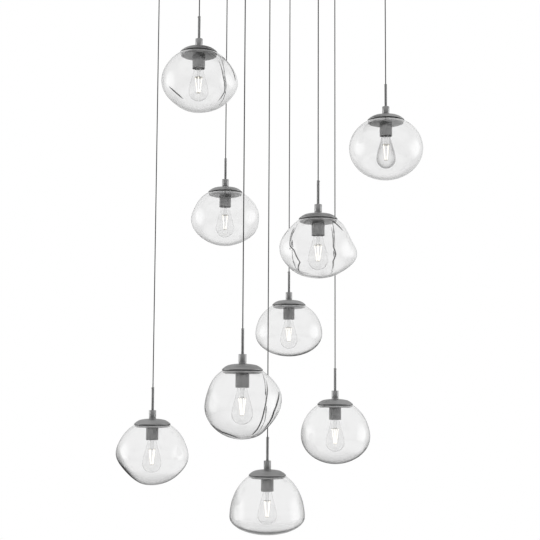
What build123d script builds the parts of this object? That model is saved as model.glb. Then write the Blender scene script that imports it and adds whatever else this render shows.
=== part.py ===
"""Cluster pendant: nine hand-blown glass shades on cords under one square ceiling canopy.

All sizes are in millimetres. The origin is the centre of the ceiling plate's top face,
+Z points up at the ceiling, and the canopy's sides run along X and Y.
"""

from build123d import *
import math
import os

os.makedirs("parts", exist_ok=True)

# ---------------------------------------------------------------- driving dimensions
# Canopy
CANOPY_SIDE = 610.0
CANOPY_DEPTH = 44.0
CANOPY_CORNER = 8.0
CANOPY_EDGE = 3.0
SHEET = 1.5
PORT_PITCH = 254.0

# Ceiling plate
PLATE_THICKNESS = 2.0
PLATE_GAP = 1.5
TAB_WIDTH = 40.0
TAB_DROP = 22.0
CEILING_BOLT_SPACING_X = 457.2
CEILING_BOLT_SPACING_Y = 355.6
CEILING_BOLT_HOLE = 6.5
BOX_SLOT_SPACING = 88.9
BOX_SLOT_WIDTH = 5.0
BOX_SLOT_LENGTH = 16.0
WIRE_ENTRY_DIA = 22.0

# Side screws, through the cover into the tabs
SCREW_DIA = 4.0
SCREW_LENGTH = 8.0
SCREW_HEAD_DIA = 7.6
SCREW_HEAD_HEIGHT = 2.2
SCREW_DROP = 12.0
SCREW_SOCKET_AF = 2.5
SCREW_SOCKET_DEPTH = 1.2

# Cord grips in the canopy
GRIP_DIA = 16.0
GRIP_HEIGHT = 12.0
GRIP_EDGE = 2.0
SPIGOT_DIA = 10.0
SPIGOT_LENGTH = 11.5
NUT_AF = 14.0
NUT_HEIGHT = 4.0
CANOPY_PIVOT_DEPTH = 6.0
CORD_SWING_DEG = 12.0

# Terminal box and the leads to it
TERMINAL_BOX_DIA = 70.0
TERMINAL_BOX_HEIGHT = 22.0
TERMINAL_WELL_DEPTH = 10.0
LEAD_LEVEL = 14.0
LEAD_BEND = 12.0

# Cord
CORD_DIA = 3.2
CORD_CLEARANCE = 0.3

# Stem, with its grub screw
STEM_DIA = 7.8
STEM_LENGTH = 70.0
STEM_SEAT = 8.0
STEM_PIVOT_DEPTH = 3.0
STEM_ROCK_DEG = 8.0
STEM_EDGE = 0.5
GRUB_DIA = 3.0
GRUB_PROUD = 1.3
GRUB_SOCKET_AF = 1.5
GRUB_SOCKET_DEPTH = 1.0

# Collar on the cap
COLLAR_DIA = 21.5
COLLAR_HEIGHT = 26.0
COLLAR_EDGE = 0.6
COLLAR_FOOT = 3.0
GROOVE_WIDTH = 1.2
GROOVE_DEPTH = 0.8

# Glass shades. The mouth is cut from the blown bubble, so its bore is the wall less wide.
OPENING_DIA = 109.2
GLASS_WALL = 2.2
GLASS_BASE = 4.5
BASE_SPOT = 28.0
SHADE_RINGS = 15
SHADE_POINTS = 24
SKIN_TOLERANCE = 0.05
NECK_ZONE = 25.0
MOUTH_BORE = OPENING_DIA - 2 * GLASS_WALL

# Cap, gasket, retaining pan and silicone ring. The pan passes through the glass's mouth,
# and the soft ring round it is a little wider than the mouth, so that it carries the glass.
CAP_DIA = 111.0
CAP_HEIGHT = 17.0
CAP_WALL = 1.5
CAP_LAND_DIA = 24.0
CROWN_RADIUS = 38.0
CROWN_DROP = 3.6
SHOULDER_RADIUS = 49.0
SHOULDER_HEIGHT = 7.4
RIM_HEIGHT = 1.5
GASKET_THICKNESS = 1.5
GASKET_SETBACK = 0.3
GASKET_INSET = 0.5
PAN_CLEARANCE = 3.4
PAN_DEPTH = 8.5
PAN_WALL = 1.2
PAN_CORNER = 3.0
RING_OVERLAP = 0.8
RING_DROP = 2.1
RING_HEIGHT = 4.0
PAN_DIA = MOUTH_BORE - 2 * PAN_CLEARANCE
RING_DIA = MOUTH_BORE + 2 * RING_OVERLAP
GASKET_DIA = CAP_DIA - 2 * GASKET_SETBACK
GASKET_BORE = PAN_DIA - 2 * GASKET_INSET

# Nipple and lampholder
NIPPLE_DIA = 10.0
NIPPLE_BORE = 6.0
NIPPLE_REACH = 12.0
NIPPLE_GRIP = 3.0
THREAD_CLEARANCE = 0.1
SLEEVE_DIA = 37.5
SLEEVE_LENGTH = 37.5
SLEEVE_WALL = 1.3
INSERT_LENGTH = 30.0
INSERT_CROWN = 5.0

# Lamp bulb
BULB_DIA = 58.0
BULB_LENGTH = 131.4
BULB_BASE_DIA = 26.4
BULB_BASE_LENGTH = 26.0
BULB_BUTTON_DIA = 9.0
BULB_BUTTON_HEIGHT = 1.5
BULB_INSULATOR_HEIGHT = 3.0
BULB_NECK_DIA = 25.6
BULB_GLASS = 0.9
BULB_CLEARANCE = 0.3
POST_DIA = 9.0
POST_FOOT_DIA = 20.0
POST_LENGTH = 32.0
FILAMENTS = 4
FILAMENT_DIA = 1.8
FILAMENT_TOP_CIRCLE = 20.0
FILAMENT_BOTTOM_CIRCLE = 8.0
FILAMENT_LENGTH = 46.0
FILAMENT_DISC = 1.0
FILAMENT_GAP = 0.15

# The front of the fixture, as an angle from +X seen from above. The turns below count from it
# anticlockwise, so 90 is the right-hand side for someone who looks at the front.
FRONT_DEG = -124.0

# Each pendant: its port as steps along X and Y, how far its cap's rim hangs below the ceiling,
# the turn of its grub screw, and its shade: width, depth of the belly and of the bottom below
# the rim, and the pushes that the hot glass was given. A push is its turn, its depth, how far
# the glass moved outwards, and how far around it the glass followed.
PENDANTS = {
    1: dict(
        port=(-1, 0), drop=444.0, grub=-90, width=216.0, belly=88.0, height=178.0,
        pushes=[(95, 95, 9, 80), (-90, 75, 2, 60), (130, 150, 4, 60), (-110, 150, -5, 60)],
    ),
    2: dict(
        port=(0, 1), drop=802.5, grub=150, width=214.0, belly=82.0, height=174.0,
        pushes=[(-100, 105, 5, 70), (100, 130, 7, 60), (80, 70, 4, 60), (-90, 40, -4, 50)],
    ),
    3: dict(
        port=(0, -1), drop=952.5, grub=90, width=206.0, belly=95.0, height=170.0,
        pushes=[(90, 108, 9, 60), (-90, 72, 9, 70), (90, 45, -7, 50)],
    ),
    4: dict(
        port=(1, -1), drop=628.5, grub=-35, width=222.0, belly=86.0, height=181.0,
        pushes=[(0, 90, 4, 70)],
    ),
    5: dict(
        port=(1, 1), drop=1157.5, grub=-90, width=222.0, belly=96.0, height=171.0,
        pushes=[(180, 90, 5, 80)],
    ),
    6: dict(
        port=(-1, -1), drop=1387.5, grub=5, width=206.0, belly=92.0, height=186.0,
        pushes=[(90, 60, 6, 60), (90, 150, -8, 60), (-90, 60, -4, 60)],
    ),
    7: dict(
        port=(-1, 1), drop=1546.5, grub=-60, width=214.0, belly=92.0, height=183.0,
        pushes=[(-95, 90, 4, 60), (-70, 150, -14, 80), (90, 105, 5, 60)],
    ),
    8: dict(
        port=(1, 0), drop=1484.0, grub=120, width=214.0, belly=96.0, height=184.0,
        pushes=[(95, 105, 3, 50), (110, 145, 6, 60)],
    ),
    9: dict(
        port=(0, 0), drop=1693.5, grub=90, width=224.0, belly=121.0, height=174.0,
        pushes=[(150, 110, 5, 80)],
    ),
}

# ---------------------------------------------------------------- sizes that follow
cord_bore = CORD_DIA / 2 + CORD_CLEARANCE
canopy_underside = -CANOPY_DEPTH
canopy_pivot = canopy_underside - CANOPY_PIVOT_DEPTH
plate_side = CANOPY_SIDE - 2 * SHEET - 2 * PLATE_GAP
threaded = NIPPLE_DIA / 2 + THREAD_CLEARANCE

# Heights in a pendant's own frame, whose zero is the plane of the cap's rim
collar_top = CAP_HEIGHT + COLLAR_HEIGHT
stem_top = collar_top + STEM_LENGTH
stem_foot = collar_top - STEM_SEAT
stem_pivot = stem_top - STEM_PIVOT_DEPTH
glass_top = -GASKET_THICKNESS
pan_bottom = glass_top - PAN_DEPTH
sleeve_bottom = pan_bottom - SLEEVE_LENGTH
insert_top = pan_bottom - SLEEVE_WALL
insert_well = insert_top - INSERT_CROWN
bulb_tip = insert_well - BULB_CLEARANCE
base_bottom = bulb_tip - BULB_BASE_LENGTH
bulb_bottom = bulb_tip - BULB_LENGTH


def port_xy(pendant):
    """The centre of a pendant's port in the canopy."""
    step_x, step_y = pendant["port"]
    return step_x * PORT_PITCH, step_y * PORT_PITCH


def place_of(pendant):
    """Where a pendant's own frame stands, under its port."""
    x, y = port_xy(pendant)
    return Location((x, y, -pendant["drop"]))


def save(piece, name):
    """Labels a node and writes its STEP file."""
    piece.label = name
    export_step(piece, f"parts/{name}.step")


def save_group(pieces, name):
    """Writes one node that holds several separate solids."""
    solids = [solid for piece in pieces for solid in piece.solids()]
    save(Compound(children=solids), name)


# ---------------------------------------------------------------- canopy
with BuildPart() as ceiling_plate:
    with BuildSketch(Plane.XY.offset(-PLATE_THICKNESS)):
        RectangleRounded(plate_side, plate_side, CANOPY_CORNER - SHEET - PLATE_GAP)
        Circle(WIRE_ENTRY_DIA / 2, mode=Mode.SUBTRACT)
        with GridLocations(CEILING_BOLT_SPACING_X, CEILING_BOLT_SPACING_Y, 2, 2):
            Circle(CEILING_BOLT_HOLE / 2, mode=Mode.SUBTRACT)
        with GridLocations(BOX_SLOT_SPACING, 0, 2, 1):
            SlotOverall(BOX_SLOT_LENGTH, BOX_SLOT_WIDTH, mode=Mode.SUBTRACT)
    extrude(amount=PLATE_THICKNESS)
    # Four tabs, turned down at the middle of the sides, take the side screws
    with PolarLocations(plate_side / 2 - PLATE_THICKNESS / 2, 4):
        Box(
            PLATE_THICKNESS, TAB_WIDTH, TAB_DROP,
            align=(Align.CENTER, Align.CENTER, Align.MAX),
        )
    with PolarLocations(plate_side / 2 - PLATE_THICKNESS / 2, 4):
        with Locations(Location((0, 0, -SCREW_DROP), (0, 90, 0))):
            Cylinder(
                SCREW_DIA / 2 + THREAD_CLEARANCE, 2 * PLATE_THICKNESS, mode=Mode.SUBTRACT
            )

with BuildPart() as canopy_cover:
    with BuildSketch(Plane.XY.offset(canopy_underside)):
        RectangleRounded(CANOPY_SIDE, CANOPY_SIDE, CANOPY_CORNER)
    extrude(amount=CANOPY_DEPTH)
    fillet(canopy_cover.edges().group_by(Axis.Z)[0], CANOPY_EDGE)
    offset(amount=-SHEET, openings=canopy_cover.faces().sort_by(Axis.Z)[-1])
    with BuildSketch(Plane.XY.offset(canopy_underside)):
        with GridLocations(PORT_PITCH, PORT_PITCH, 3, 3):
            Circle(SPIGOT_DIA / 2 + THREAD_CLEARANCE)
    extrude(amount=SHEET, mode=Mode.SUBTRACT)
    with PolarLocations(CANOPY_SIDE / 2 - SHEET / 2, 4):
        with Locations(Location((0, 0, -SCREW_DROP), (0, 90, 0))):
            Cylinder(SCREW_DIA / 2 + 2 * THREAD_CLEARANCE, 2 * SHEET, mode=Mode.SUBTRACT)

# A button-head screw along +X, its head seated on the plane X = 0
with BuildPart() as side_screw:
    with BuildSketch(Plane.XZ):
        with BuildLine():
            Polyline(
                (-SCREW_LENGTH, 0),
                (-SCREW_LENGTH, SCREW_DIA / 2),
                (0, SCREW_DIA / 2),
                (0, SCREW_HEAD_DIA / 2),
            )
            head = ThreePointArc(
                (0, SCREW_HEAD_DIA / 2),
                (SCREW_HEAD_HEIGHT * 0.75, SCREW_HEAD_DIA / 4 + SCREW_DIA / 8),
                (SCREW_HEAD_HEIGHT, SCREW_DIA / 4),
            )
            Polyline(head @ 1, (SCREW_HEAD_HEIGHT, 0), (-SCREW_LENGTH, 0))
        make_face()
    revolve(axis=Axis.X)
    with BuildSketch(Plane.YZ.offset(SCREW_HEAD_HEIGHT)):
        RegularPolygon(SCREW_SOCKET_AF / 2, 6, major_radius=False)
    extrude(amount=-SCREW_SOCKET_DEPTH, mode=Mode.SUBTRACT)

screw_places = PolarLocations(CANOPY_SIDE / 2, 4).locations
screws = [
    side_screw.part.moved(Location((0, 0, -SCREW_DROP)) * place) for place in screw_places
]

# A cord grip: a round body under the cover, a threaded spigot through it, and a bore that
# flares to a trumpet mouth so that the cord can swing
grip_mouth = cord_bore + (GRIP_HEIGHT - CANOPY_PIVOT_DEPTH) * math.tan(
    math.radians(CORD_SWING_DEG + 4)
)
with BuildPart() as cord_grip:
    with BuildSketch(Plane.XZ):
        with BuildLine():
            Polyline(
                (cord_bore, canopy_pivot),
                (cord_bore, canopy_underside + SPIGOT_LENGTH),
                (SPIGOT_DIA / 2, canopy_underside + SPIGOT_LENGTH),
                (SPIGOT_DIA / 2, canopy_underside),
                (GRIP_DIA / 2, canopy_underside),
                (GRIP_DIA / 2, canopy_underside - GRIP_HEIGHT + GRIP_EDGE),
            )
            RadiusArc(
                (GRIP_DIA / 2, canopy_underside - GRIP_HEIGHT + GRIP_EDGE),
                (GRIP_DIA / 2 - GRIP_EDGE, canopy_underside - GRIP_HEIGHT),
                GRIP_EDGE,
            )
            Polyline(
                (GRIP_DIA / 2 - GRIP_EDGE, canopy_underside - GRIP_HEIGHT),
                (grip_mouth, canopy_underside - GRIP_HEIGHT),
                (cord_bore, canopy_pivot),
            )
        make_face()
    revolve(axis=Axis.Z)

with BuildPart() as grip_nut:
    with BuildSketch(Plane.XY.offset(canopy_underside + SHEET)):
        RegularPolygon(NUT_AF / 2, 6, major_radius=False)
        Circle(SPIGOT_DIA / 2 + THREAD_CLEARANCE, mode=Mode.SUBTRACT)
    extrude(amount=NUT_HEIGHT)

ports = [Location((*port_xy(pendant), 0)) for pendant in PENDANTS.values()]
grips = [piece.part.moved(port) for port in ports for piece in (cord_grip, grip_nut)]

# The terminal box hangs under the plate's wire entry, with a well for the supply wires
with BuildPart() as terminal_box:
    with BuildSketch(Plane.XY.offset(-PLATE_THICKNESS)):
        Circle(TERMINAL_BOX_DIA / 2)
    extrude(amount=-TERMINAL_BOX_HEIGHT)
    chamfer(terminal_box.edges().group_by(Axis.Z)[0], 1.5)
    with BuildSketch(Plane.XY.offset(-PLATE_THICKNESS)):
        Circle(WIRE_ENTRY_DIA / 2)
    extrude(amount=-TERMINAL_WELL_DEPTH, mode=Mode.SUBTRACT)


def port_lead(pendant):
    """The cord's tail inside the canopy, from its grip to the terminal box."""
    x, y = port_xy(pendant)
    foot = canopy_pivot + CORD_DIA / 2 + CORD_CLEARANCE
    reach = math.hypot(x, y)
    with BuildPart() as lead:
        with BuildLine() as route:
            if reach:
                share = TERMINAL_BOX_DIA / 2 / reach
                corner = (x, y, -LEAD_LEVEL)
                end = (x * share, y * share, -LEAD_LEVEL)
                FilletPolyline((x, y, foot), corner, end, radius=LEAD_BEND)
            else:
                Line((x, y, foot), (x, y, -PLATE_THICKNESS - TERMINAL_BOX_HEIGHT))
        with BuildSketch(Plane(origin=(x, y, foot), z_dir=(0, 0, 1))):
            Circle(CORD_DIA / 2)
        sweep(path=route.wires()[0])
    return lead.part


save(ceiling_plate.part, "ceiling_plate")
save(canopy_cover.part, "canopy_cover")
save_group(screws, "canopy_screws")
save_group(grips, "cord_grips")
save(terminal_box.part, "terminal_box")
save_group([port_lead(pendant) for pendant in PENDANTS.values()], "port_leads")


# ---------------------------------------------------------------- stem and collar
# The stem's bore opens to a small trumpet above the point where the cord bends
stem_mouth = cord_bore + STEM_PIVOT_DEPTH * math.tan(math.radians(STEM_ROCK_DEG + 2))
with BuildPart() as stem:
    with BuildSketch(Plane.XZ):
        with BuildLine():
            Polyline(
                (cord_bore, stem_foot),
                (STEM_DIA / 2, stem_foot),
                (STEM_DIA / 2, stem_top - STEM_EDGE),
                (STEM_DIA / 2 - STEM_EDGE, stem_top),
                (stem_mouth, stem_top),
                (cord_bore, stem_pivot),
                close=True,
            )
        make_face()
    revolve(axis=Axis.Z)
    with Locations(Location((STEM_DIA / 2, 0, stem_pivot), (0, 90, 0))):
        Cylinder(GRUB_DIA / 2 + THREAD_CLEARANCE / 2, STEM_DIA / 2, mode=Mode.SUBTRACT)

grub_tip = cord_bore + 2 * CORD_CLEARANCE
with BuildPart() as grub_screw:
    with BuildSketch(Plane.YZ.offset(grub_tip)):
        with Locations((0, stem_pivot)):
            Circle(GRUB_DIA / 2)
    extrude(amount=STEM_DIA / 2 + GRUB_PROUD - grub_tip)
    with BuildSketch(Plane.YZ.offset(STEM_DIA / 2 + GRUB_PROUD)):
        with Locations((0, stem_pivot)):
            RegularPolygon(GRUB_SOCKET_AF / 2, 6, major_radius=False)
    extrude(amount=-GRUB_SOCKET_DEPTH, mode=Mode.SUBTRACT)

with BuildPart() as collar:
    with BuildSketch(Plane.XZ):
        with BuildLine():
            Polyline(
                (threaded, CAP_HEIGHT),
                (COLLAR_DIA / 2, CAP_HEIGHT),
                (COLLAR_DIA / 2, CAP_HEIGHT + COLLAR_FOOT),
                (COLLAR_DIA / 2 - GROOVE_DEPTH, CAP_HEIGHT + COLLAR_FOOT),
                (COLLAR_DIA / 2 - GROOVE_DEPTH, CAP_HEIGHT + COLLAR_FOOT + GROOVE_WIDTH),
                (COLLAR_DIA / 2, CAP_HEIGHT + COLLAR_FOOT + GROOVE_WIDTH),
                (COLLAR_DIA / 2, collar_top - COLLAR_EDGE),
                (COLLAR_DIA / 2 - COLLAR_EDGE, collar_top),
                (STEM_DIA / 2 + THREAD_CLEARANCE, collar_top),
                (STEM_DIA / 2 + THREAD_CLEARANCE, stem_foot),
                (NIPPLE_BORE / 2, stem_foot),
                (NIPPLE_BORE / 2, CAP_HEIGHT + NIPPLE_REACH),
                (threaded, CAP_HEIGHT + NIPPLE_REACH),
                close=True,
            )
        make_face()
    revolve(axis=Axis.Z)

# ---------------------------------------------------------------- cap and gasket
with BuildPart() as cap:
    with BuildSketch(Plane.XZ):
        with BuildLine():
            land = Polyline((0, 0), (0, CAP_HEIGHT), (CAP_LAND_DIA / 2, CAP_HEIGHT))
            crown = ThreePointArc(
                land @ 1,
                ((CAP_LAND_DIA / 2 + CROWN_RADIUS) / 2, CAP_HEIGHT - CROWN_DROP * 0.3),
                (CROWN_RADIUS, CAP_HEIGHT - CROWN_DROP),
            )
            shoulder = ThreePointArc(
                crown @ 1, (SHOULDER_RADIUS, SHOULDER_HEIGHT), (CAP_DIA / 2, RIM_HEIGHT)
            )
            Polyline(shoulder @ 1, (CAP_DIA / 2, 0), (0, 0))
        make_face()
    revolve(axis=Axis.Z)
    offset(amount=-CAP_WALL, openings=cap.faces().sort_by(Axis.Z)[0])
    with BuildSketch():
        Circle(threaded)
    extrude(amount=CAP_HEIGHT, mode=Mode.SUBTRACT)

with BuildPart() as gasket:
    with BuildSketch(Plane.XY.offset(glass_top)):
        Circle(GASKET_DIA / 2)
        Circle(GASKET_BORE / 2, mode=Mode.SUBTRACT)
    extrude(amount=GASKET_THICKNESS)

# ---------------------------------------------------------------- holder inside the shade
# The retaining pan is a shallow spun dish, drawn up against the gasket
with BuildPart() as pan:
    with BuildSketch(Plane.XY.offset(pan_bottom)):
        Circle(PAN_DIA / 2)
    extrude(amount=PAN_DEPTH)
    fillet(pan.edges().group_by(Axis.Z)[0], PAN_CORNER)
    offset(amount=-PAN_WALL, openings=pan.faces().sort_by(Axis.Z)[-1])
    with BuildSketch(Plane.XY.offset(pan_bottom)):
        Circle(threaded)
    extrude(amount=PAN_DEPTH, mode=Mode.SUBTRACT)

# The silicone ring is wider than the glass's opening, so it carries the shade
with BuildPart() as grip_ring:
    with BuildSketch(Plane.XY.offset(glass_top - RING_DROP - RING_HEIGHT)):
        Circle(RING_DIA / 2)
        Circle(PAN_DIA / 2, mode=Mode.SUBTRACT)
    extrude(amount=RING_HEIGHT)

with BuildPart() as nipple:
    with BuildSketch(Plane.XY.offset(insert_top - NIPPLE_GRIP)):
        Circle(NIPPLE_DIA / 2)
        Circle(NIPPLE_BORE / 2, mode=Mode.SUBTRACT)
    extrude(amount=CAP_HEIGHT + NIPPLE_REACH - insert_top + NIPPLE_GRIP)

with BuildPart() as sleeve:
    with BuildSketch(Plane.XY.offset(sleeve_bottom)):
        Circle(SLEEVE_DIA / 2)
    extrude(amount=SLEEVE_LENGTH)
    offset(amount=-SLEEVE_WALL, openings=sleeve.faces().sort_by(Axis.Z)[0])
    with BuildSketch(Plane.XY.offset(insert_top)):
        Circle(threaded)
    extrude(amount=SLEEVE_WALL, mode=Mode.SUBTRACT)

with BuildPart() as lampholder_insert:
    with BuildSketch(Plane.XY.offset(insert_top)):
        Circle(SLEEVE_DIA / 2 - SLEEVE_WALL - THREAD_CLEARANCE)
    extrude(amount=-INSERT_LENGTH)
    with BuildSketch(Plane.XY.offset(insert_well)):
        Circle(BULB_BASE_DIA / 2 + BULB_CLEARANCE)
    extrude(amount=INSERT_CROWN - INSERT_LENGTH, mode=Mode.SUBTRACT)
    with BuildSketch(Plane.XY.offset(insert_top)):
        Circle(threaded)
    extrude(amount=-NIPPLE_GRIP, mode=Mode.SUBTRACT)

# ---------------------------------------------------------------- lamp bulb
button_top = bulb_tip
insulator_top = button_top - BULB_BUTTON_HEIGHT
base_shoulder = insulator_top - BULB_INSULATOR_HEIGHT
with BuildPart() as bulb_base:
    with BuildSketch(Plane.XZ):
        with BuildLine():
            Polyline(
                (0, base_bottom),
                (0, button_top),
                (BULB_BUTTON_DIA / 2, button_top),
                (BULB_BUTTON_DIA / 2, insulator_top),
                (BULB_BASE_DIA / 2, base_shoulder),
                (BULB_BASE_DIA / 2, base_bottom),
                close=True,
            )
        make_face()
    revolve(axis=Axis.Z)

# The envelope widens from the neck in one long curve to the belly, and ends in a round
belly_height = bulb_bottom + BULB_DIA / 2
with BuildPart() as envelope:
    with BuildSketch(Plane.XZ):
        with BuildLine():
            flank = Spline(
                (BULB_NECK_DIA / 2, base_bottom),
                (BULB_DIA * 0.36, (base_bottom + belly_height) / 2),
                (BULB_DIA / 2, belly_height),
                tangents=((0.05, -1), (0, -1)),
            )
            ThreePointArc(
                flank @ 1,
                (
                    BULB_DIA / 2 * math.sin(math.pi / 4),
                    belly_height - BULB_DIA / 2 * math.sin(math.pi / 4),
                ),
                (0, bulb_bottom),
            )
            Polyline((0, bulb_bottom), (0, base_bottom), (BULB_NECK_DIA / 2, base_bottom))
        make_face()
    revolve(axis=Axis.Z)
    offset(amount=-BULB_GLASS, openings=envelope.faces().sort_by(Axis.Z)[-1])

post_bottom = base_bottom - POST_LENGTH
with BuildPart() as post:
    with BuildSketch(Plane.XZ):
        with BuildLine():
            Polyline(
                (POST_DIA / 2, post_bottom),
                (0, post_bottom),
                (0, base_bottom),
                (POST_FOOT_DIA / 2, base_bottom),
            )
            Spline(
                (POST_FOOT_DIA / 2, base_bottom),
                (POST_DIA / 2 + 1, base_bottom - POST_LENGTH / 3),
                (POST_DIA / 2, post_bottom),
                tangents=((-0.4, -1), (0, -1)),
            )
        make_face()
    revolve(axis=Axis.Z)

filament_top = post_bottom - FILAMENT_DISC - FILAMENT_GAP
filament_foot = filament_top - FILAMENT_LENGTH


def filament(turn_deg):
    """One light filament, leaning in towards the axis at its lower end."""
    turn = math.radians(turn_deg)
    top_r = FILAMENT_TOP_CIRCLE / 2
    low_r = FILAMENT_BOTTOM_CIRCLE / 2
    top = Vector(top_r * math.cos(turn), top_r * math.sin(turn), filament_top)
    low = Vector(low_r * math.cos(turn), low_r * math.sin(turn), filament_foot)
    with BuildPart() as stick:
        with BuildSketch(Plane(origin=top, z_dir=low - top)):
            Circle(FILAMENT_DIA / 2)
        extrude(amount=(low - top).length)
    return stick.part


# The filaments hang between a disc under the post and a tie at their feet
with BuildPart() as filament_disc:
    with BuildSketch(Plane.XY.offset(post_bottom)):
        Circle(FILAMENT_TOP_CIRCLE / 2 + FILAMENT_DIA)
    extrude(amount=-FILAMENT_DISC)

with BuildPart() as filament_tie:
    with BuildSketch(Plane.XY.offset(filament_foot - FILAMENT_GAP)):
        Circle(FILAMENT_BOTTOM_CIRCLE / 2 + FILAMENT_DIA)
    extrude(amount=-FILAMENT_DISC)

filaments = [filament(360 / FILAMENTS * step) for step in range(FILAMENTS)]
bulb_pieces = [
    bulb_base.part, envelope.part, post.part, filament_disc.part, filament_tie.part,
    *filaments,
]


# ---------------------------------------------------------------- glass shades
def follow(distance, reach):
    """How much of a push the glass follows at a distance from its middle, from 1 to 0."""
    near = max(0.0, 1 - distance / reach)
    return near * near * (3 - 2 * near)


def bubble_point(pendant, polar, turn, wall, base):
    """A point of the free-blown bubble, before the pushes, in the pendant's own frame.

    polar runs from the top of the bubble to its bottom, and wall and base draw the
    surface in by the thickness of the glass at the side and at the bottom.
    """
    half = pendant["width"] / 2
    belly = pendant["belly"]
    cut = math.sqrt(1 - (OPENING_DIA / 2 / half) ** 2)
    if polar < math.pi / 2:
        rise = (belly + glass_top) / cut - wall
    else:
        rise = pendant["height"] - belly - base
    radius = (half - wall) * math.sin(polar)
    angle = math.radians(FRONT_DEG) + turn
    return Vector(
        radius * math.cos(angle), radius * math.sin(angle), rise * math.cos(polar) - belly
    )


def push_centre(pendant, turn_deg, depth):
    """The place on the free-blown bubble where a push was given."""
    half = pendant["width"] / 2
    belly = pendant["belly"]
    cut = math.sqrt(1 - (OPENING_DIA / 2 / half) ** 2)
    if depth < belly:
        polar = math.acos((belly - depth) / (belly + glass_top) * cut)
    else:
        polar = math.acos((belly - depth) / (pendant["height"] - belly))
    return bubble_point(pendant, polar, math.radians(turn_deg), 0, 0)


def shade_point(pendant, polar, turn, wall, base):
    """A point of the finished shade: the bubble's point moved by every push."""
    point = bubble_point(pendant, polar, turn, wall, base)
    outside = bubble_point(pendant, polar, turn, 0, 0)
    # The neck stays round, because the gasket and the silicone ring bear on it
    free = follow(max(0.0, NECK_ZONE + outside.Z), NECK_ZONE)
    for turn_deg, depth, push, reach in pendant["pushes"]:
        centre = push_centre(pendant, turn_deg, depth)
        angle = math.radians(FRONT_DEG + turn_deg)
        moved = push * follow((outside - centre).length, reach) * free
        point += Vector(moved * math.cos(angle), moved * math.sin(angle), 0)
    return point


def bubble_side(pendant, wall, base):
    """The side of the shade as one smooth face, with its upper and lower rims."""
    half = pendant["width"] / 2
    cut = math.sqrt(1 - (OPENING_DIA / 2 / half) ** 2)
    rise = (pendant["belly"] + glass_top) / cut - wall
    first = math.acos((pendant["belly"] + glass_top) / rise)
    last = math.pi - math.asin(BASE_SPOT / 2 / half)
    rows = []
    for ring in range(SHADE_RINGS):
        polar = first + (last - first) * ring / (SHADE_RINGS - 1)
        turns = [2 * math.pi * step / SHADE_POINTS for step in range(SHADE_POINTS + 1)]
        rows.append([shade_point(pendant, polar, turn, wall, base) for turn in turns])
    side = Face.make_surface_from_array_of_points(
        rows, tol=SKIN_TOLERANCE, min_deg=3, max_deg=3
    )
    rims = [edge for edge in side.edges() if edge.is_closed]
    rims.sort(key=lambda edge: edge.center().Z)
    return side, Wire([rims[-1]]), Wire([rims[0]])


def shade(pendant):
    """A blown shade: outer and inner sides, a flat lip, and a flat spot at the bottom."""
    outer, outer_lip, outer_spot = bubble_side(pendant, 0, 0)
    inner, inner_lip, inner_spot = bubble_side(pendant, GLASS_WALL, GLASS_BASE)
    lip = Face(outer_lip, [inner_lip])
    skin = Shell([outer, inner, lip, Face(outer_spot), Face(inner_spot)])
    with BuildPart() as glass:
        add(Solid(skin))
    return glass.part


# ---------------------------------------------------------------- cords
def cord(pendant):
    """A straight round cord with rounded ends, from its grip to its stem."""
    x, y = port_xy(pendant)
    low = stem_pivot - pendant["drop"]
    radius = CORD_DIA / 2
    with BuildPart() as line:
        with BuildSketch(Plane.XZ):
            with BuildLine():
                Line((0, low - radius), (0, canopy_pivot + radius))
                Line((radius, low), (radius, canopy_pivot))
                RadiusArc((0, canopy_pivot + radius), (radius, canopy_pivot), radius)
                RadiusArc((radius, low), (0, low - radius), radius)
            make_face()
        revolve(axis=Axis.Z)
    return line.part.moved(Location((x, y, 0)))


# ---------------------------------------------------------------- the nine pendants
for number, pendant in PENDANTS.items():
    place = place_of(pendant)
    grub_turn = Location((0, 0, 0), (0, 0, FRONT_DEG + pendant["grub"]))
    stem_pieces = [stem.part, grub_screw.part]
    cap_pieces = [collar.part, cap.part, gasket.part]
    holder_pieces = [
        pan.part, grip_ring.part, nipple.part, sleeve.part, lampholder_insert.part
    ]
    save(cord(pendant), f"cord_{number}")
    save_group([piece.moved(place * grub_turn) for piece in stem_pieces], f"stem_{number}")
    save_group([piece.moved(place) for piece in cap_pieces], f"cap_{number}")
    save_group([piece.moved(place) for piece in holder_pieces], f"lampholder_{number}")
    save_group([piece.moved(place) for piece in bulb_pieces], f"bulb_{number}")
    glass = shade(pendant).moved(place)
    save(glass, f"shade_{number}")
    print(number, "cord length", pendant["drop"] - stem_pivot + canopy_pivot)
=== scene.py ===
"""Cluster pendant: nine hand-blown glass shades on cords under one square ceiling canopy."""

import math

import bpy
import numpy as np
from mathutils import Matrix


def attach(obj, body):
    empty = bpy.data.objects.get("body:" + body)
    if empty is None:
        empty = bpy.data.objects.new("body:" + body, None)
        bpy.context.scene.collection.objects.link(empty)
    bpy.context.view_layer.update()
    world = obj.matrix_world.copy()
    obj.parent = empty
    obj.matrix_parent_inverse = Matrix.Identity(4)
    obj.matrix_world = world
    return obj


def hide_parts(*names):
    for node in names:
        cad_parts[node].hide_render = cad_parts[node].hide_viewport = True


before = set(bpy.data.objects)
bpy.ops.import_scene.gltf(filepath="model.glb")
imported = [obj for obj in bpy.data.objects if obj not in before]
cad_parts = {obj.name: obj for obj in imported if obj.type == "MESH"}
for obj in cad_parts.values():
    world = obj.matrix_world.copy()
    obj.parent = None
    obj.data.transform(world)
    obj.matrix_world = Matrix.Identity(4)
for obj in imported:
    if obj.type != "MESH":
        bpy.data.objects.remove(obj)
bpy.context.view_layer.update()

# ---------------------------------------------------------------- camera
# The photograph was taken from low down, at the height of the lower shades, looking a
# little upwards at the whole cluster. The lens is a long one, 76 mm on a 36 mm frame.
CAMERA_PLACE = (-1.9298, -2.8694, -1.445)
FACING = math.radians(-34)
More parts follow.
